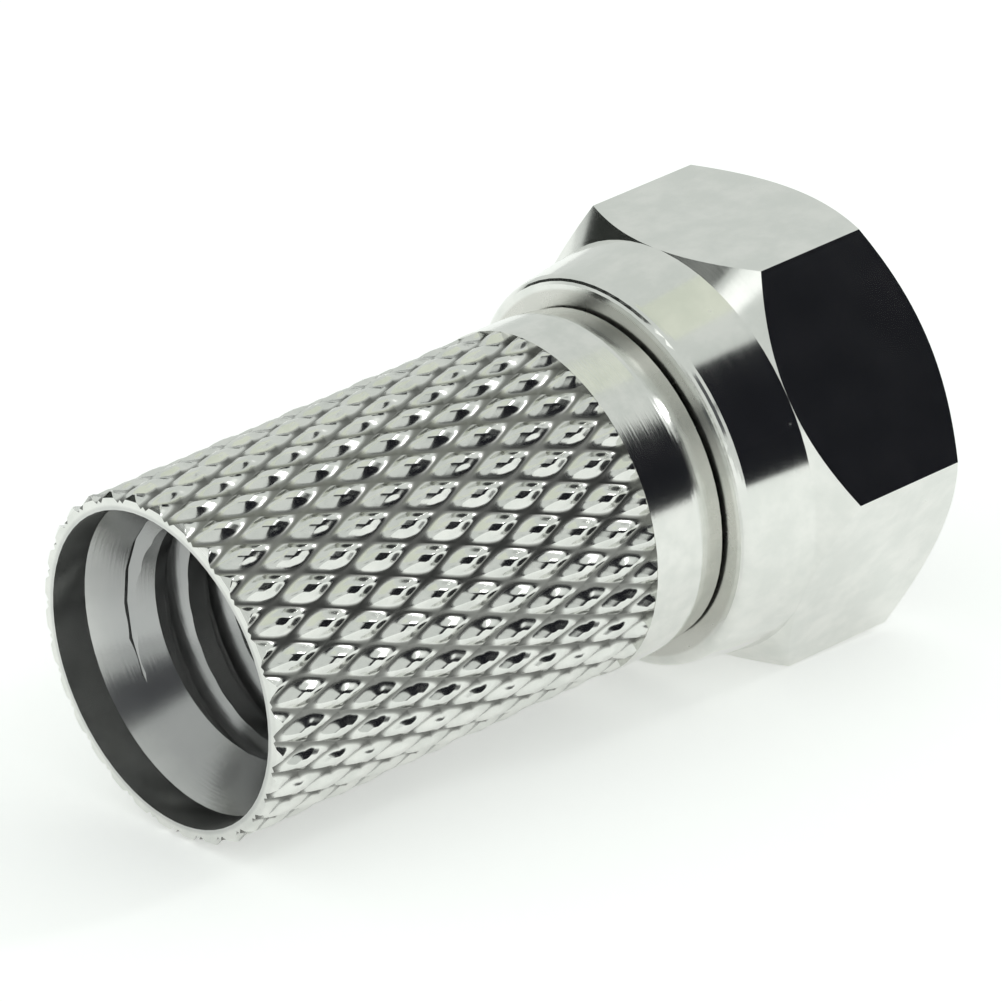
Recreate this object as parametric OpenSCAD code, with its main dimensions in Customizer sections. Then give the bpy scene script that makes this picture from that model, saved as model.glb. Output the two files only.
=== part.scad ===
// Twist-on F-type coaxial plug, in millimetres.
// The axis of the plug lies along X. The cable enters from -X and the jack
// is met at +X. The origin is on the axis in the plane of the ferrule's
// front face, where the plug and the jack meet. One flat of the nut is down.

/* [Sleeve] */
// Diameter over the knurl crests
sleeve_d = 9.16; // [9.1:0.02:9.4]
// How far the smooth neck's surface stands above the knurl crests
neck_rise = 0.02; // [0.02:0.01:0.06]
// Length of the smooth neck, from the knurl to its tapered shoulder
neck_l = 1.37; // [1.2:0.01:1.6]
// How far the shoulder drops in radius towards the front face
shoulder_drop = 0.15; // [0.1:0.01:0.3]
// Length of the tapered shoulder at the front of the neck
shoulder_l = 0.85; // [0.4:0.05:1.2]
// Chamfer on the outside of the rear rim
rim_chamfer = 0.12; // [0.05:0.01:0.2]

/* [Diamond knurl] */
// Length of the knurled band from the rear rim
knurl_l = 12.2; // [11.4:0.1:13]
// Number of diamonds around the band
knurl_n = 30; // [24:1:34]
// Number of half-diamond steps along the band
knurl_rows = 11; // [9:1:13]
// Depth of the grooves below the crests
knurl_depth = 0.24; // [0.16:0.01:0.26]
// Flat top of a diamond as a share of its length and width
knurl_top = 0.4; // [0.3:0.02:0.5]

/* [Cable entry] */
// Thickness of the rim around the smooth entry
rim_wall = 0.43; // [0.4:0.01:0.5]
// Depth of the smooth entry
entry_l = 1; // [0.9:0.05:1.4]
// Length of the tapered lead-in from the entry to the thread
lead_l = 1.45; // [1:0.05:2]

/* [Cable thread] */
// Crest diameter of the coarse thread that grips the cable jacket
cable_thread_d = 6.4; // [6.2:0.05:6.6]
// Depth of the coarse thread groove
cable_thread_depth = 0.45; // [0.4:0.01:0.5]
// Pitch of the coarse thread
cable_thread_pitch = 1.25; // [1.2:0.05:1.5]
// Width of the crest left between two turns of the groove
cable_thread_land = 0.48; // [0.46:0.01:0.56]
// Width of the groove at its bottom
cable_thread_root = 0.1; // [0.08:0.01:0.2]

/* [Ferrule] */
// Diameter of the shank pressed into the sleeve
shank_d = 6.1; // [5.9:0.02:6.3]
// Wall of the shank around the bore that passes the cable's core
shank_wall = 0.6; // [0.5:0.02:0.7]
// Length of the shank inside the sleeve
shank_l = 3; // [2:0.1:3.2]
// Length of the sleeve's shank bore left empty behind the shank
shank_spare = 0.3; // [0.1:0.05:0.6]
// Interference of the press fit, on the diameter
press_fit = 0.03; // [0.01:0.01:0.04]
// Step in radius from the shank up to the journal that the nut turns on
journal_step = 0.45; // [0.4:0.01:0.5]
// Thickness of the front flange
flange_t = 0.92; // [0.8:0.02:1.1]

/* [Coupling nut] */
// Width across the flats of the hexagon
nut_af = 11; // [10.9:0.05:11.2]
// Overall length of the nut
nut_l = 6.93; // [6.7:0.01:7.4]
// Outside diameter of the collar at its rear edge
collar_rear_d = 10.5; // [10.3:0.05:10.8]
// Length of the round collar behind the hexagon
collar_l = 2.1; // [1.9:0.05:2.3]
// Radius of the rounded rear edge of the collar
collar_edge_r = 0.3; // [0.1:0.02:0.4]
// Thickness of the inner lip that turns on the journal
lip_t = 1.1; // [0.9:0.02:1.2]
// Axial rise of the rear hexagon chamfer, for each unit of radius
rear_chamfer_slope = 0.89; // [0.7:0.01:1.1]
// Axial rise of the front hexagon chamfer, for each unit of radius
front_chamfer_slope = 0.75; // [0.5:0.01:1]
// Diameter where the front chamfer meets the front face
face_d = 10.7; // [10.4:0.05:10.8]
// Crest diameter of the fine thread for the jack
jack_thread_d = 8.76; // [8.7:0.01:8.86]
// Depth of the fine thread, which is cut clear behind it
jack_thread_depth = 0.3825; // [0.36:0.0025:0.4]
// Pitch of the fine thread, 32 turns to the inch
jack_thread_pitch = 0.79375; // [0.75:0.00625:0.8]
// Length of the clear groove behind the fine thread
relief_l = 0.9; // [0.8:0.02:0.94]

/* [Fits] */
// Radial clearance between the nut's lip and the journal
journal_clearance = 0.05; // [0.02:0.01:0.08]
// Gap between the sleeve's front face and the nut's rear face
rear_gap = 0.1; // [0.05:0.01:0.2]
// Gap between the nut's lip and the flange
front_gap = 0.06; // [0.03:0.01:0.1]
// Radial clearance between the flange and the fine thread's crests
flange_clearance = 0.23; // [0.18:0.01:0.3]

/* [View] */
// Sub-part to draw

/* [Hidden] */
$fn = 96;

// Places along the axis
x_flange = -flange_t;
x_lip_front = x_flange - front_gap;
x_nut_rear = x_lip_front - lip_t;
x_nut_front = x_nut_rear + nut_l;
x_sleeve_front = x_nut_rear - rear_gap;
x_shoulder = x_sleeve_front - shoulder_l;
x_knurl_end = x_shoulder - neck_l;
x_rear = x_knurl_end - knurl_l;
x_shank_rear = x_sleeve_front - shank_l;
x_thread = x_rear + entry_l + lead_l;

// Radii
sleeve_r = sleeve_d / 2;
neck_r = sleeve_r + neck_rise;
nose_r = neck_r - shoulder_drop;
entry_r = sleeve_r - rim_wall;
shank_r = shank_d / 2;
pressed_r = shank_r + press_fit / 2;
core_r = shank_r - shank_wall;
journal_r = shank_r + journal_step;
flange_r = jack_thread_d / 2 - flange_clearance;
nut_r = nut_af / 2;
corner_r = nut_af / sqrt(3);

// Knurl lattice: crossings and diamond centres alternate on a grid of
// half steps, one set at the groove bottoms and one at the crests
knurl_run_out = 0.2;
knurl_step = knurl_l / (knurl_rows - knurl_run_out);
x_knurl = x_rear - knurl_run_out * knurl_step;
knurl_root_r = sleeve_r - knurl_depth;
knurl_half_angle = 180 / knurl_n;
neck_root = 0.05;

// Both threads are cut by a groove that starts and ends in clear space. Its
// flanks run on a little past the crests
thread_seg = 24;
thread_clear = 0.05;

// Cable thread
thread_r = cable_thread_d / 2;
thread_root_r = thread_r + cable_thread_depth;
thread_half = (cable_thread_pitch - cable_thread_land) / 2;
undercut_r = thread_root_r + 0.05;
x_undercut_end = x_shank_rear - shank_spare;
x_groove_end = x_undercut_end - thread_half - 0.15;
x_undercut = x_groove_end - thread_half - 0.05;
x_groove = x_rear + entry_l - thread_half;
thread_turns = (x_groove_end - x_groove) / cable_thread_pitch;

// Jack thread, with flanks at 60 degrees to each other
jack_r = jack_thread_d / 2;
jack_root_r = jack_r + jack_thread_depth;
jack_root = jack_thread_pitch / 8;
jack_half = jack_root / 2 + jack_thread_depth * tan(30);
relief_r = jack_root_r + 0.03;
x_relief_end = x_lip_front + relief_l;
x_jack_groove = x_lip_front + relief_l / 2;
jack_turns = (x_nut_front + 0.4 - x_jack_groove) / jack_thread_pitch;

// A point on a cylinder about the axis
function ring_pt(x, r, a) = [x, r * cos(a), r * sin(a)];

// Points of one knurl cell: the groove crossing, then the four corners of
// the flat top towards +X, -X, the next angle and the last angle
function knurl_cell(i, k) =
    let (
        x = x_knurl + i * knurl_step,
        ac = (2 * k + i % 2) * knurl_half_angle,
        ag = (2 * k + (i + 1) % 2) * knurl_half_angle,
        dx = knurl_top * knurl_step,
        da = knurl_top * knurl_half_angle,
        xf = i == knurl_rows ? x : x + dx,
        xb = i == 0 ? x : x - dx
    )
    [
        ring_pt(x, knurl_root_r, ag),
        ring_pt(xf, sleeve_r, ac),
        ring_pt(xb, sleeve_r, ac),
        ring_pt(x, sleeve_r, ac + da),
        ring_pt(x, sleeve_r, ac - da)
    ];

// Index of one point of a cell
function cell_id(i, k, m) = (i * knurl_n + (k + knurl_n) % knurl_n) * 5 + m;

// Index of the groove crossing at row i and half-angle j
function cross_id(i, j) = cell_id(i, floor((j + 2 * knurl_n) / 2), 0);

// Faces of one diamond: its flat top, then its four flanks
function diamond(i, k) =
    let (
        j = 2 * k + i % 2,
        f = cell_id(i, k, 1),
        b = cell_id(i, k, 2),
        n = cell_id(i, k, 3),
        s = cell_id(i, k, 4),
        cn = cross_id(i, j + 1),
        cs = cross_id(i, j - 1),
        cf = i < knurl_rows ? cross_id(i + 1, j) : 0,
        cb = i > 0 ? cross_id(i - 1, j) : 0
    )
    concat(
        [[b, f, n], [b, s, f]],
        i < knurl_rows ? [[f, cn, n], [f, cf, cn], [s, cf, f], [s, cs, cf]] : [],
        i > 0 ? [[n, cb, b], [n, cn, cb], [b, cs, s], [b, cb, cs]] : []
    );

// Outline of one end of the knurled bar
function knurl_end(i) = [
    for (k = [0 : knurl_n - 1])
        for (m = i % 2 == 0 ? [4, i == 0 ? 2 : 1, 3, 0] : [0, 4, i == 0 ? 2 : 1, 3])
            cell_id(i, k, m)
];

// Reverse of a list
function backwards(v) = [for (i = [len(v) - 1 : -1 : 0]) v[i]];

// Bar with a diamond knurl all over its side
module knurled_bar() {
    pts = [
        for (i = [0 : knurl_rows])
            for (k = [0 : knurl_n - 1])
                for (p = knurl_cell(i, k))
                    p
    ];
    sides = [
        for (i = [0 : knurl_rows])
            for (k = [0 : knurl_n - 1])
                for (t = diamond(i, k))
                    t
    ];
    polyhedron(
        points = pts,
        faces = concat(sides, [knurl_end(0), backwards(knurl_end(knurl_rows))]),
        convexity = 10
    );
}

// Groove of a right-hand inside thread, as a solid to cut with. It starts
// at x and its crests lie at radius r
module thread_groove(x, r, depth, half, root, pitch, turns) {
    slope = (half - root / 2) / depth;
    wide = half + slope * thread_clear;
    prof = [
        [-wide, r - 0.3],
        [-wide, r - thread_clear],
        [-root / 2, r + depth],
        [root / 2, r + depth],
        [wide, r - thread_clear],
        [wide, r - 0.3]
    ];
    steps = ceil(turns * thread_seg);
    pts = [
        for (k = [0 : steps])
            for (p = prof)
                ring_pt(x + p[0] + k * pitch / thread_seg, p[1], k * 360 / thread_seg)
    ];
    sides = [
        for (k = [0 : steps - 1])
            for (m = [0 : 5])
                for (t = [
                    [6 * k + m, 6 * k + 6 + (m + 1) % 6, 6 * k + 6 + m],
                    [6 * k + m, 6 * k + (m + 1) % 6, 6 * k + 6 + (m + 1) % 6]
                ])
                    t
    ];
    first = [for (m = [5 : -1 : 0]) m];
    last = [for (m = [0 : 5]) 6 * steps + m];
    polyhedron(points = pts, faces = concat(sides, [first, last]), convexity = 10);
}

// Solid of revolution about X, from points of [x, radius]
module turned(pts) {
    rotate([90, 0, 90])
        rotate_extrude()
            polygon([for (p = pts) [p[1], p[0]]]);
}

// Knurled sleeve, turned over at the rear and shouldered at the front
module sleeve() {
    color([0.78, 0.78, 0.75])
        difference() {
            union() {
                intersection() {
                    knurled_bar();
                    turned([
                        [x_rear, 0],
                        [x_rear, sleeve_r - rim_chamfer],
                        [x_rear + rim_chamfer + 0.1, sleeve_r + 0.1],
                        [x_knurl_end + 1, sleeve_r + 0.1],
                        [x_knurl_end + 1, 0]
                    ]);
                }
                turned([
                    [x_knurl_end - neck_root, 0],
                    [x_knurl_end - neck_root, neck_r],
                    [x_shoulder, neck_r],
                    [x_sleeve_front, nose_r],
                    [x_sleeve_front, 0]
                ]);
            }
            turned([
                [x_rear - 1, 0],
                [x_rear - 1, entry_r],
                [x_rear + entry_l, entry_r],
                [x_thread, thread_r],
                [x_undercut, thread_r],
                [x_undercut, undercut_r],
                [x_undercut_end, undercut_r],
                [x_undercut_end, shank_r],
                [x_sleeve_front + 1, shank_r],
                [x_sleeve_front + 1, 0]
            ]);
            thread_groove(
                x_groove,
                thread_r,
                cable_thread_depth,
                thread_half,
                cable_thread_root,
                cable_thread_pitch,
                thread_turns
            );
        }
}

// Flanged ferrule: pressed shank, journal for the nut and front flange
module ferrule() {
    entry = shank_wall * 0.4;
    lead = shank_wall * 0.25;
    edge = (flange_r - journal_r) * 0.2;
    color([0.8, 0.8, 0.77])
        turned([
            [x_shank_rear, core_r + entry],
            [x_shank_rear, pressed_r - lead],
            [x_shank_rear + lead, pressed_r],
            [x_sleeve_front, pressed_r],
            [x_sleeve_front, journal_r],
            [x_flange, journal_r],
            [x_flange, flange_r],
            [-edge, flange_r],
            [0, flange_r - edge],
            [0, core_r],
            [x_shank_rear + entry, core_r]
        ]);
}

// Hexagon nut with a round collar, captive between sleeve and flange
module coupling_nut() {
    x_hex = x_nut_rear + collar_l;
    rear_run = (corner_r - nut_r + 0.5) * rear_chamfer_slope;
    front_run = (corner_r + 0.5 - face_d / 2) * front_chamfer_slope;
    bore_r = journal_r + journal_clearance;
    edge_x = x_nut_rear + collar_edge_r;
    edge_r = collar_rear_d / 2 - collar_edge_r;
    color([0.82, 0.82, 0.8])
        difference() {
            union() {
                turned([
                    [x_nut_rear, 0],
                    [x_nut_rear, edge_r],
                    for (a = [15 : 15 : 75])
                        [edge_x - collar_edge_r * cos(a), edge_r + collar_edge_r * sin(a)],
                    [edge_x, collar_rear_d / 2],
                    [x_hex, nut_r],
                    [x_hex, 0]
                ]);
                intersection() {
                    translate([x_hex, 0, 0])
                        rotate([90, 0, 90])
                            cylinder(r = corner_r, h = x_nut_front - x_hex, $fn = 6);
                    turned([
                        [x_hex, 0],
                        [x_hex, nut_r],
                        [x_hex + rear_run, corner_r + 0.5],
                        [x_nut_front - front_run, corner_r + 0.5],
                        [x_nut_front, face_d / 2],
                        [x_nut_front, 0]
                    ]);
                }
            }
            turned([
                [x_nut_rear - 1, 0],
                [x_nut_rear - 1, bore_r],
                [x_lip_front, bore_r],
                [x_lip_front, relief_r],
                [x_relief_end, relief_r],
                [x_relief_end, jack_r],
                [x_nut_front - (relief_r - jack_r), jack_r],
                [x_nut_front, relief_r],
                [x_nut_front + 1, relief_r],
                [x_nut_front + 1, 0]
            ]);
            thread_groove(
                x_jack_groove,
                jack_r,
                jack_thread_depth,
                jack_half,
                jack_root,
                jack_thread_pitch,
                jack_turns
            );
        }
}

sleeve();
ferrule();
coupling_nut();
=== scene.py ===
# %% [markdown]
# # A twist-on F plug in polished nickel
# The part comes from CAD as three solids: a knurled sleeve, a ferrule and a
# coupling nut. The solids already hold the true forms, so this lesson is about
# the finish. It softens the edges that plating and polishing would soften,
# builds the plated metal from nodes, and lights it the way small shiny parts
# are lit, with a pale room and a few dark cards for the metal to reflect.

# %% Load the solids
import math
import bmesh
import bpy
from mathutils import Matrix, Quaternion, Vector


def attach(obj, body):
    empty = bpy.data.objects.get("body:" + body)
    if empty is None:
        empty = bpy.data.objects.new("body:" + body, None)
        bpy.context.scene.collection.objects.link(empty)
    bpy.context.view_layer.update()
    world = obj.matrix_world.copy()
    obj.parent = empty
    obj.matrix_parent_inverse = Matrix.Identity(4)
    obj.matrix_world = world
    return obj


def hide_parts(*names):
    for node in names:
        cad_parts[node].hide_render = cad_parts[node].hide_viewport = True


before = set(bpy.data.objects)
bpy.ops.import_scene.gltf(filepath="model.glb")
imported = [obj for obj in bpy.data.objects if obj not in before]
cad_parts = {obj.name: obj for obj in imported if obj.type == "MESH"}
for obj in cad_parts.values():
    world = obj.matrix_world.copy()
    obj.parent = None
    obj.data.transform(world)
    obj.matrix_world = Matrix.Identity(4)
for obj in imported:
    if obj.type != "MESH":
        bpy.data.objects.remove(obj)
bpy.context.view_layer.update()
MM = 0.001
scene = bpy.context.scene


def linked(name, data):
    """A new object in the scene, at the origin, that shows this data."""
    obj = bpy.data.objects.new(name, data)
    scene.collection.objects.link(obj)
    return obj


print("solids:", sorted(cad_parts))

# %% [markdown]
# ## Softened edges
# A hexagon nut is never razor sharp: tumbling before plating rounds each edge
# by a few hundredths of a millimetre, and it is that tiny round that catches
# the light and draws a bright line along the edge. It could be faked in the
# shader, but a real bevel also shows in the outline. The solids come as loose
# triangles, so a copy is merged into one skin first, and a Bevel modifier
# then works only on edges that turn sharply.

# %% A solid's copy, merged into one skin
SAME_PLACE = 0.0004 * MM


def merged_copy(node, name):
    piece = linked(name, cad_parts[node].data.copy())
    skin = bmesh.new()
    skin.from_mesh(piece.data)
    bmesh.ops.remove_doubles(skin, verts=skin.verts, dist=SAME_PLACE)
    bmesh.ops.dissolve_limit(
        skin,
        angle_limit=math.radians(1),
        verts=skin.verts,
        edges=skin.edges,
        delimit={"MATERIAL"},
    )
    skin.to_mesh(piece.data)
    skin.free()
    print(name, "-", len(piece.data.polygons), "faces before the bevel")
    return piece


# %% Smooth faces, parted where an edge turns sharply
def shade(skin, sharp_deg):
    for face in skin.faces:
        face.smooth = True
    for edge in skin.edges:
        edge.smooth = edge.calc_face_angle(0) < math.radians(sharp_deg)


def soften(piece, width_mm, angle_deg, segments):
    skin = bmesh.new()
    skin.from_mesh(piece.data)
    shade(skin, angle_deg)
    skin.to_mesh(piece.data)
    skin.free()
    bevel = piece.modifiers.new("Softened edges", "BEVEL")
    bevel.width = width_mm * MM
    bevel.segments = segments
    bevel.limit_method = "ANGLE"
    bevel.angle_limit = math.radians(angle_deg)
    print(piece.name, "- edges rounded by", width_mm, "mm")


# %% [markdown]
# ## What the lathe cut
# A solid from CAD comes as flat strips, and a mirror finish shows each strip.
# More strips would help only a little. The normal of a turned surface is known
# exactly, though: it points away from the axis, and leans along it as the cone
# of that cut does. So each face remembers whether it was turned, whether it
# belongs to the knurl, and how far its cut leans. The finishes read this.

# %% Which faces were turned, and which are knurled
GROOVE_FLOOR = 4.28
KNURL_REAR, KNURL_FRONT = -16.47, -4.44
COLLAR_RADIUS = 5.3


def is_knurled(face):
    """True on the sides and tops of the diamonds."""
    out = math.hypot(face.center.y, face.center.z) / MM
    in_band = KNURL_REAR < face.center.x / MM < KNURL_FRONT
    return in_band and out > GROOVE_FLOOR and abs(face.normal.x) < 0.9


def is_turned(face):
    """True where the lathe made the face, and not on a flat of the hexagon."""
    outward = Vector((0, face.center.y, face.center.z)).normalized()
    sideways = abs(face.normal.cross(outward).x)
    out = math.hypot(face.center.y, face.center.z) / MM
    faces_out = abs(face.normal.x) < 0.02
    on_flat = face.center.x > 0 and faces_out and out > COLLAR_RADIUS
    return sideways < 0.2 and not on_flat


print("knurled faces lie over", GROOVE_FLOOR, "mm from the axis")


# %% How far a cut leans
def lean_of(rise, run):
    """Lean of a cone that gains rise in radius over a length of run."""
    return -rise / math.hypot(rise, run)


def cut_lean(face, cuts):
    """How far the normal leans along X, taken from the cut that made the face."""
    own = face.normal.x
    nearest = min(cuts, key=lambda lean: abs(lean - own))
    return nearest if abs(nearest - own) < 0.06 else own


print("a 45 degree chamfer leans by", round(lean_of(1, 1), 3))


# %% The marks, kept on the faces
def mark_cuts(piece, cuts):
    layers = {
        name: piece.data.attributes.new(name, "FLOAT", "FACE")
        for name in ("turned", "knurled", "lean")
    }
    for face in piece.data.polygons:
        on_knurl = is_knurled(face)
        marks = {
            "turned": float(is_turned(face) or on_knurl),
            "knurled": float(on_knurl),
            "lean": cut_lean(face, cuts),
        }
        for name, mark in marks.items():
            layers[name].data[face.index].value = mark
    turned = sum(mark.value for mark in layers["turned"].data)
    print(piece.name, "-", int(turned), "turned faces")


# %% The nut
nut = merged_copy("coupling_nut", "polished_nut")
soften(nut, 0.05, 24, segments=2)
even = nut.modifiers.new("Flats stay flat", "WEIGHTED_NORMAL")
even.keep_sharp = True
rear_cone = lean_of(1, 0.89)
front_cone = -lean_of(1, 0.75)
mark_cuts(nut, [0, 1, -1, lean_of(0.25, 1.8), rear_cone, front_cone])
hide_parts("coupling_nut")
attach(nut, "nut")

# %% [markdown]
# ## Diamonds worn round
# The tops of a rolled knurl are never flat facets. The metal is squeezed up
# into the wheels' grooves and plated over, so each diamond is a small pillow,
# and each pillow mirrors the whole room in miniature. The edges of the flat
# tops get a wide round of several segments, and the valleys stay sharp. The
# swell of each top is drawn by the finish alone: the mesh keeps flat tops with
# rounded edges.

# %% The sleeve
CREST = 4.58
sleeve = merged_copy("sleeve", "knurled_sleeve")
soften(sleeve, 0.16, 24, segments=3)
rim_cone = lean_of(1, 1)
shoulder_cone = -lean_of(0.15, 0.85)
lead_cone = -lean_of(-0.95, 1.45)
mark_cuts(sleeve, [0, 1, -1, rim_cone, shoulder_cone, lead_cone])
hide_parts("sleeve")
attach(sleeve, "plug")


# %% Which of its edges get the wide round
def gets_round(edge):
    ends = [math.hypot(v.co.y, v.co.z) / MM for v in edge.verts]
    places = [v.co.x / MM for v in edge.verts]
    on_crest = min(ends) > CREST - 0.01 and max(ends) < CREST + 0.01
    on_knurl = min(places) > -16.4 and max(places) < -4.46
    on_shoulder = min(ends) > 4.5 and min(places) > -3.1 and max(places) < -2.9
    turns = edge.calc_face_angle(0) > math.radians(6)
    return on_shoulder or (on_crest and on_knurl and turns)


skin = bmesh.new()
skin.from_mesh(sleeve.data)
weight = skin.edges.layers.float.new("bevel_weight_edge")
tops = [edge for edge in skin.edges if gets_round(edge)]
for edge in tops:
    edge[weight] = 1.0
shade(skin, 50)
print(len(tops), "edges of tops and shoulder get the wide round")
skin.to_mesh(sleeve.data)
skin.free()
sleeve.modifiers["Softened edges"].limit_method = "WEIGHT"

# %% [markdown]
# ## A small language for shader maths
# Node trees written out link by link are hard to read. Here one class wraps a
# socket, so that a plain expression such as (1 - groove) * 0.4 adds its Math
# nodes by itself. Every other node comes from one method, which takes the
# node's type, its settings and what goes into its sockets.

# %% One way to add a node
def add_node(tree, kind, settings=None, inputs=None, out=0):
    made = tree.nodes.new(kind)
    for key, value in (settings or {}).items():
        setattr(made, key, value)
    for key, value in (inputs or {}).items():
        if isinstance(value, Value):
            tree.links.new(value.socket, made.inputs[key])
        else:
            made.inputs[key].default_value = value
    return Value(made.outputs[out])


print("every node will come from add_node")


# %% Sockets that can be added and multiplied
class Value:
    """One socket, on which plain arithmetic adds Math nodes."""

    def __init__(self, socket):
        self.socket = socket

    def joined(self, operation, *values):
        settings = {"operation": operation}
        inputs = dict(enumerate(values))
        return add_node(self.socket.id_data, "ShaderNodeMath", settings, inputs)

    def math(self, operation, *others):
        return self.joined(operation, self, *others)

    def __add__(self, other):
        return self.joined("ADD", self, other)

    __radd__ = __add__

    def __mul__(self, other):
        return self.joined("MULTIPLY", self, other)

    __rmul__ = __mul__

    def __sub__(self, other):
        return self.joined("SUBTRACT", self, other)

    def __rsub__(self, other):
        return self.joined("SUBTRACT", other, self)

    def __truediv__(self, other):
        return self.joined("DIVIDE", self, other)

    def between(self, low, high):
        """0 up to low, 1 from high on, and a soft step between them."""
        settings = {"interpolation_type": "SMOOTHSTEP"}
        inputs = {"Value": self, "From Min": low, "From Max": high}
        tree = self.socket.id_data
        return add_node(tree, "ShaderNodeMapRange", settings, inputs, "Result")


print("plain arithmetic now adds Math nodes")


# %% A finish and its coordinates
class Finish:
    """One material's node tree, with its Principled shader."""

    def __init__(self, name):
        self.material = bpy.data.materials.new(name)
        self.material.use_nodes = True
        self.tree = self.material.node_tree
        self.shader = self.tree.nodes["Principled BSDF"]
        place = self.node("ShaderNodeTexCoord", out="Object")
        self.place = self.vector("SCALE", place, scale=1 / MM)
        self.x, self.y, self.z = (
            self.node("ShaderNodeSeparateXYZ", inputs={0: self.place}, out=axis)
            for axis in "XYZ"
        )
        self.radius = (self.y * self.y + self.z * self.z).math("SQRT")

    def node(self, kind, settings=None, inputs=None, out=0):
        return add_node(self.tree, kind, settings, inputs, out)

    def vector(self, operation, first, second=None, scale=None, out=0):
        given = {0: first, 1: second, "Scale": scale}
        inputs = {key: value for key, value in given.items() if value is not None}
        return self.node("ShaderNodeVectorMath", {"operation": operation}, inputs, out)

    def marked(self, name):
        return self.node("ShaderNodeAttribute", {"attribute_name": name}, None, "Fac")

    def noise(self, scale, stretch=(1, 1, 1), detail=3, roughness=0.5):
        at = self.vector("MULTIPLY", self.place, stretch)
        return self.node(
            "ShaderNodeTexNoise",
            {"noise_dimensions": "3D"},
            {"Vector": at, "Scale": scale, "Detail": detail, "Roughness": roughness},
            "Fac",
        )

    def mix(self, share, first, second, kind="RGBA"):
        """first where share is 0, second where it is 1."""
        slots = {"RGBA": (6, 7, 2), "VECTOR": (4, 5, 1)}
        low, high, out = slots[kind]
        inputs = {"Factor": share}
        for place, value in ((low, first), (high, second)):
            inputs[place] = (*value, 1) if isinstance(value, tuple) else value
        return self.node("ShaderNodeMix", {"data_type": kind}, inputs, out)

    def bump(self, height, strength, depth_mm, normal=None):
        inputs = {"Height": height, "Strength": strength, "Distance": depth_mm * MM}
        if normal is not None:
            inputs["Normal"] = normal
        return self.node("ShaderNodeBump", None, inputs)

    def feed(self, **sockets):
        for name, value in sockets.items():
            key = name.replace("_", " ").title()
            if isinstance(value, Value):
                self.tree.links.new(value.socket, self.shader.inputs[key])
            else:
                self.shader.inputs[key].default_value = value


print("a finish now has coordinates in millimetres")


# %% [markdown]
# ## A truly round normal
# This is where the marks on the faces are used. The normal is built again from
# two numbers: its lean along the axis, which the cut gives, and what is left
# for the radial direction, which is wherever the point lies around the axis.
# A bevelled edge was not cut, so where the true normal leaves the cut's lean
# it keeps its own.

# %% The normal that the lathe gave
def moved(nickel, start, end, normal):
    settings = {"vector_type": "NORMAL", "convert_from": start, "convert_to": end}
    return nickel.node("ShaderNodeVectorTransform", settings, {0: normal})


def round_normal(nickel):
    """The normal, made truly round about the axis where a lathe cut."""
    smooth = nickel.node("ShaderNodeNewGeometry", out="Normal")
    flat = nickel.node("ShaderNodeNewGeometry", out="True Normal")
    own = moved(nickel, "WORLD", "OBJECT", flat)
    out = nickel.node("ShaderNodeCombineXYZ", None, {1: nickel.y, 2: nickel.z})
    out = nickel.vector("NORMALIZE", out)
    lift = nickel.vector("DOT_PRODUCT", own, out, out="Value").math("SIGN")
    along = nickel.node("ShaderNodeSeparateXYZ", None, {0: own}, "X")
    lean = nickel.marked("lean")
    same = 1 - (along - lean).math("ABSOLUTE").between(0.055, 0.065)
    along = (lean * same + along * (1 - same)) * (1 - nickel.marked("knurled"))
    rise = (1 - along * along).math("MAXIMUM", 0.0).math("SQRT") * lift
    ring = nickel.vector("SCALE", out, scale=rise)
    axial = nickel.node("ShaderNodeCombineXYZ", None, {0: along})
    ring = moved(nickel, "OBJECT", "WORLD", nickel.vector("ADD", ring, axial))
    return nickel.mix(nickel.marked("turned"), smooth, ring, "VECTOR")


print("a lathe's normal is ready")

# %% Dressing a piece
def wear(piece, material):
    for slot in piece.material_slots:
        slot.material = material
    print(piece.name, "gets", material.name, "in", len(piece.material_slots), "slots")


# %% [markdown]
# ## Polished nickel on the nut
# The nut is turned from drawn hexagon bar and plated bright. Bright nickel is
# a slightly warm grey mirror. What keeps it from looking like computer chrome
# is what the tools left behind: faint draw lines along the flats, rings on
# what was turned, a soft waviness that bends every reflection, and a few
# small knocks from lying loose among others.

# %% The nut's finish
def nut_finish():
    nickel = Finish("Bright nickel, polished")
    drawn = nickel.noise(5, stretch=(0.12, 4, 4), detail=4)
    rings = nickel.noise(3, stretch=(6, 0.05, 0.05), detail=3)
    on_flat = nickel.x.between(0.2, 0.9)
    lines = drawn * on_flat + rings * (1 - on_flat)
    wavy = nickel.noise(0.55, detail=1)
    cloud = nickel.noise(0.9, detail=5, roughness=0.6)
    knocks = nickel.node(
        "ShaderNodeTexVoronoi",
        {"feature": "F1"},
        {"Vector": nickel.place, "Scale": 1.6, "Randomness": 1.0},
        "Distance",
    )
    pit = (1 - knocks.between(0.02, 0.09)) * cloud.between(0.42, 0.55)
    # Within 4.85 mm of the axis the metal is rougher, and its colour is painted darker
    # as painted shade in the bore
    bore_rough_and_shaded = 1 - nickel.radius.between(4.85, 4.95)
    tint = nickel.mix(cloud.between(0.35, 0.7), (0.72, 0.73, 0.70), (0.80, 0.80, 0.77))
    # Painted shade: the bore's colour is pulled darker and warmer
    tint = nickel.mix(bore_rough_and_shaded * 0.6, tint, (0.55, 0.54, 0.50))
    nickel.feed(
        metallic=1.0,
        base_color=tint,
        roughness=0.07 + cloud * 0.05 + lines * 0.05 + pit * 0.2 + bore_rough_and_shaded * 0.15,
        normal=nickel.bump(
            wavy * 0.35 + lines * 0.02 - pit * 0.05, 0.2, 0.05, round_normal(nickel)
        ),
    )
    return nickel.material


wear(nut, nut_finish())
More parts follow.
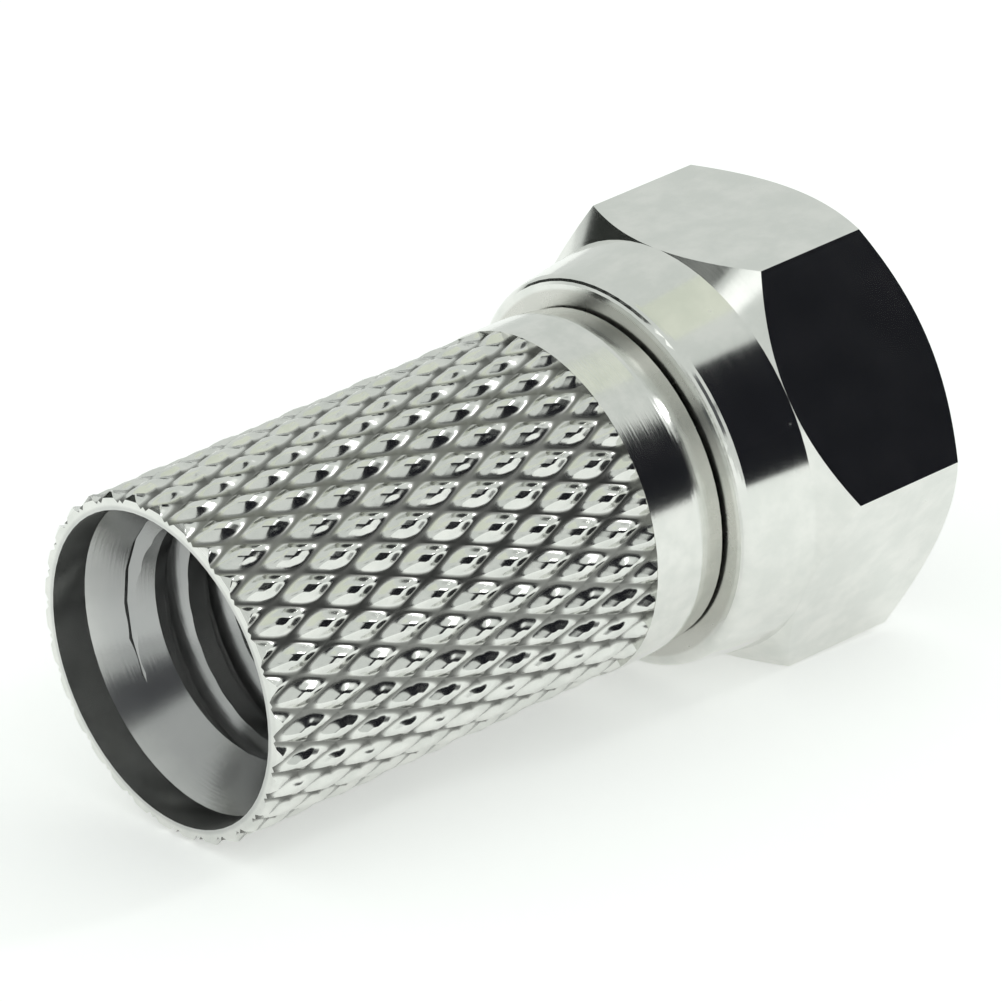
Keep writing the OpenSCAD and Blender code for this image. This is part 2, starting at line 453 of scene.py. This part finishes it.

# %% [markdown]
# ## The knurled sleeve
# A knurl is rolled with two hardened wheels, so the metal is pushed up from
# the grooves into the diamonds. Tops that fingers and boxes rub stay bright,
# and the groove bottoms, where polish never reached, stay rougher; their colour
# is also painted nearly black, as painted shade in the creases. The shape of a
# diamond is known, so its height is worked out from the place on the band. That
# height swells each top, and where it is near nothing the groove gets its
# rougher metal and its painted shade. Inside, the entry and the coarse thread
# were bored fast and left rough as the tool cut them, and their colour is
# painted darker, more so deeper in: painted shade in the bore.

# %% The height of the diamonds
KNURL_N = 30
KNURL_STEP = 12.2 / 10.8
KNURL_START = -16.6 - 0.2 * KNURL_STEP


def diamonds(nickel):
    """1 at the middle of each diamond, 0 along every groove."""
    along = (nickel.x - KNURL_START) / KNURL_STEP
    around = nickel.z.math("ARCTAN2", nickel.y) * (KNURL_N / math.pi)
    height = 1.0
    for across in ((along + around) * 0.5, (along - around) * 0.5):
        off = ((across + 0.5).math("FRACT") - 0.5).math("ABSOLUTE")
        height = (1 - off.between(0.07, 0.5)) * height
    return height


# %% The sleeve's finish
def sleeve_finish():
    nickel = Finish("Nickel over knurl")
    outside = nickel.radius.between(4.2, 4.3)
    knurled = nickel.marked("knurled")
    pillow = diamonds(nickel)
    # groove is 1 in the groove bottoms: it makes them rougher and carries their
    # painted shade
    groove = (1 - pillow.between(0.0, 0.16)) * knurled
    cloud = nickel.noise(1.3, detail=5, roughness=0.6)
    grain = nickel.noise(14, detail=3)
    rings = nickel.noise(3, stretch=(7, 0.04, 0.04), detail=3)
    bore_rough_and_shaded = 1 - outside
    tint = nickel.mix(cloud.between(0.3, 0.7), (0.70, 0.71, 0.68), (0.79, 0.79, 0.76))
    # Painted shade: the grooves' colour is pulled towards near black
    tint = nickel.mix(groove * 0.85, tint, (0.16, 0.16, 0.15))
    # Painted shade in the bore: its colour gets darker the deeper in it lies, on top
    # of the rougher metal
    deep = nickel.x.between(-16.3, -14.8) * 0.4 + 0.35
    tint = nickel.mix(bore_rough_and_shaded * deep, tint, (0.30, 0.30, 0.31))
    fine = (rings * (1 - knurled) * 0.1 + grain * 0.03) * 0.02
    nickel.feed(
        metallic=1.0,
        base_color=tint,
        roughness=0.12 + cloud * 0.06 + groove * 0.2 + bore_rough_and_shaded * 0.06,
        normal=nickel.bump(
            pillow * knurled * 0.2 + fine, 1.0, 1.0, round_normal(nickel)
        ),
    )
    return nickel.material


wear(sleeve, sleeve_finish())

# %% [markdown]
# ## The ferrule
# The ferrule is a plain turned bush. Only its flange shows, deep in the nut,
# and its bore. It gets the same nickel with concentric turning marks, a little
# duller than the nut because nothing polished it.

# %% The ferrule's finish
def ferrule_finish():
    nickel = Finish("Nickel, as turned")
    rings = nickel.radius.math("MULTIPLY", 55.0).math("SINE")
    cloud = nickel.noise(1.6, detail=4)
    tint = nickel.mix(cloud.between(0.3, 0.7), (0.68, 0.68, 0.65), (0.76, 0.76, 0.73))
    nickel.feed(
        metallic=1.0,
        base_color=tint,
        roughness=0.16 + cloud * 0.08,
        normal=nickel.bump(rings * 0.5 + cloud * 0.5, 0.3, 0.006),
    )
    return nickel.material


wear(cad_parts["ferrule"], ferrule_finish())

# %% [markdown]
# ## The floor
# Left alone on a table, the plug tips until the rim of the sleeve and one flat
# of the nut both touch. The part stays where its own frame has it, so the
# floor is tilted under it instead, through those two lines of contact.

# %% Matt paper, for the floor and the cards
def paper(name, colour, glow=0.0):
    made = bpy.data.materials.new(name)
    made.use_nodes = True
    shader = made.node_tree.nodes["Principled BSDF"]
    shader.inputs["Base Color"].default_value = (*colour, 1)
    shader.inputs["Roughness"].default_value = 0.9
    shader.inputs["Specular IOR Level"].default_value = 0.0
    if glow:
        shader.inputs["Emission Color"].default_value = (*colour, 1)
        shader.inputs["Emission Strength"].default_value = glow
    return made


def sheet_of(name, mesh, material):
    """A scene object that is no part of the plug."""
    data = bpy.data.meshes.new(name)
    mesh.to_mesh(data)
    mesh.free()
    data.materials.append(material)
    obj = linked(name, data)
    return obj


# %% A pale floor that both ends touch
nut_low = Vector((0.02, 0, -5.5)) * MM
rim_low = Vector((-16.47, 0, -4.58)) * MM
tilt = math.atan2(rim_low.z - nut_low.z, nut_low.x - rim_low.x)
square = bmesh.new()
bmesh.ops.create_grid(square, x_segments=1, y_segments=1, size=1.5)
pale = paper("pale paper", (0.86, 0.87, 0.86), glow=0.42)
floor = sheet_of("floor", square, pale)
floor.location = nut_low
floor.rotation_euler = (0, tilt, 0)
print("floor tilted by", round(math.degrees(tilt), 2), "degrees")

# %% [markdown]
# ## A pale studio
# Polished metal shows its surroundings and little else, so the surroundings
# are the real paint here. The room is an even pale grey with a trace of
# green, which alone would leave the metal flat and chalky. Dark cards outside
# the view give the facing flat, the collar and the neck something black to
# mirror beside something white, and two small lights add the sparkle. The
# metal sees the cards, but the camera and the floor don't.

# %% The room
world = bpy.data.worlds.new("pale room")
scene.world = world
world.use_nodes = True
room = world.node_tree.nodes["Background"]
room.inputs["Color"].default_value = (0.88, 0.92, 0.89, 1)
room.inputs["Strength"].default_value = 0.85
print("room strength:", 0.85)


# %% The cards
def card(name, distance, colour, *corners):
    """A flat card whose corners lie in these directions from the part."""
    sheet = bmesh.new()
    places = [Vector(corner).normalized() * distance for corner in corners]
    sheet.faces.new([sheet.verts.new(place) for place in places])
    obj = sheet_of(name, sheet, paper(name, colour))
    obj.visible_camera = False
    obj.visible_diffuse = False
    obj.visible_shadow = False
    print(name, "-", distance, "m away")


# The first card is close to the part, so it is small. The others are far off.
DARK = (0.012, 0.012, 0.016)
card(
    "dark card for the facing flat", 0.09, DARK,
    (0.10, -0.30, 0.95), (0.60, -0.60, 0.55), (0.85, -0.48, 0.25),
    (0.90, -0.45, -0.05), (0.02, -0.99, -0.05),
)
card(
    "dark card behind", 0.5, (0.03, 0.032, 0.03),
    (-0.05, 0.97, 0.02), (-0.05, 0.93, 0.30), (-0.75, 0.22, 0.72), (-0.80, 0.40, 0.42),
)
card(
    "grey card behind the camera", 0.8, (0.10, 0.10, 0.11),
    (-0.82, -0.42, 0.40), (-0.62, -0.40, 0.80), (-0.15, -0.80, 0.68),
    (-0.35, -0.92, 0.20),
)
card(
    "dark card for the upper rows", 0.6, DARK,
    (0.70, 0.36, 0.40), (0.86, 0.28, 0.36), (0.80, 0.52, 0.22), (0.66, 0.60, 0.24),
)
card(
    "warm card above", 0.7, (0.76, 0.77, 0.69),
    (-0.10, -0.12, 0.98), (0.60, -0.14, 0.79), (0.56, 0.26, 0.78), (-0.10, 0.30, 0.94),
)


# %% The two lights
LIGHT_DISTANCE = 0.7


def soft_light(name, direction, side, power):
    lamp = bpy.data.lights.new(name, "AREA")
    lamp.shape = "SQUARE"
    lamp.size = side
    lamp.energy = power
    obj = linked(name, lamp)
    obj.location = Vector(direction) * LIGHT_DISTANCE
    obj.rotation_euler = (-obj.location).to_track_quat("-Z", "Y").to_euler()
    print(name, "-", power, "W")


soft_light("key light", (0.81, -0.32, 0.50), 0.08, 0.5)
soft_light("small fill light", (-0.80, 0.10, 0.60), 0.12, 0.03)

# %% [markdown]
# ## The camera
# A long lens from some way off keeps the knurl's rows nearly parallel. The
# camera looks down and along the plug from behind its open end, slightly
# rolled.

# %% Camera
def look(place_mm, aim_mm, roll_deg, lens_mm):
    data = bpy.data.cameras.new("camera")
    data.lens = lens_mm
    data.sensor_width = 36
    data.clip_start = 0.01
    camera = linked("camera", data)
    camera.location = Vector(place_mm) * MM
    way = (Vector(aim_mm) - Vector(place_mm)).to_track_quat("-Z", "Y")
    roll = Quaternion((0, 0, 1), math.radians(roll_deg))
    camera.rotation_euler = (way @ roll).to_euler()
    scene.camera = camera
    print("lens of", lens_mm, "mm, rolled by", roll_deg, "degrees")


look((-140.91, -169.37, 103.01), (-8.95, -4.25, 3.08), -4.87, 345.2)
scene.view_settings.view_transform = "Standard"
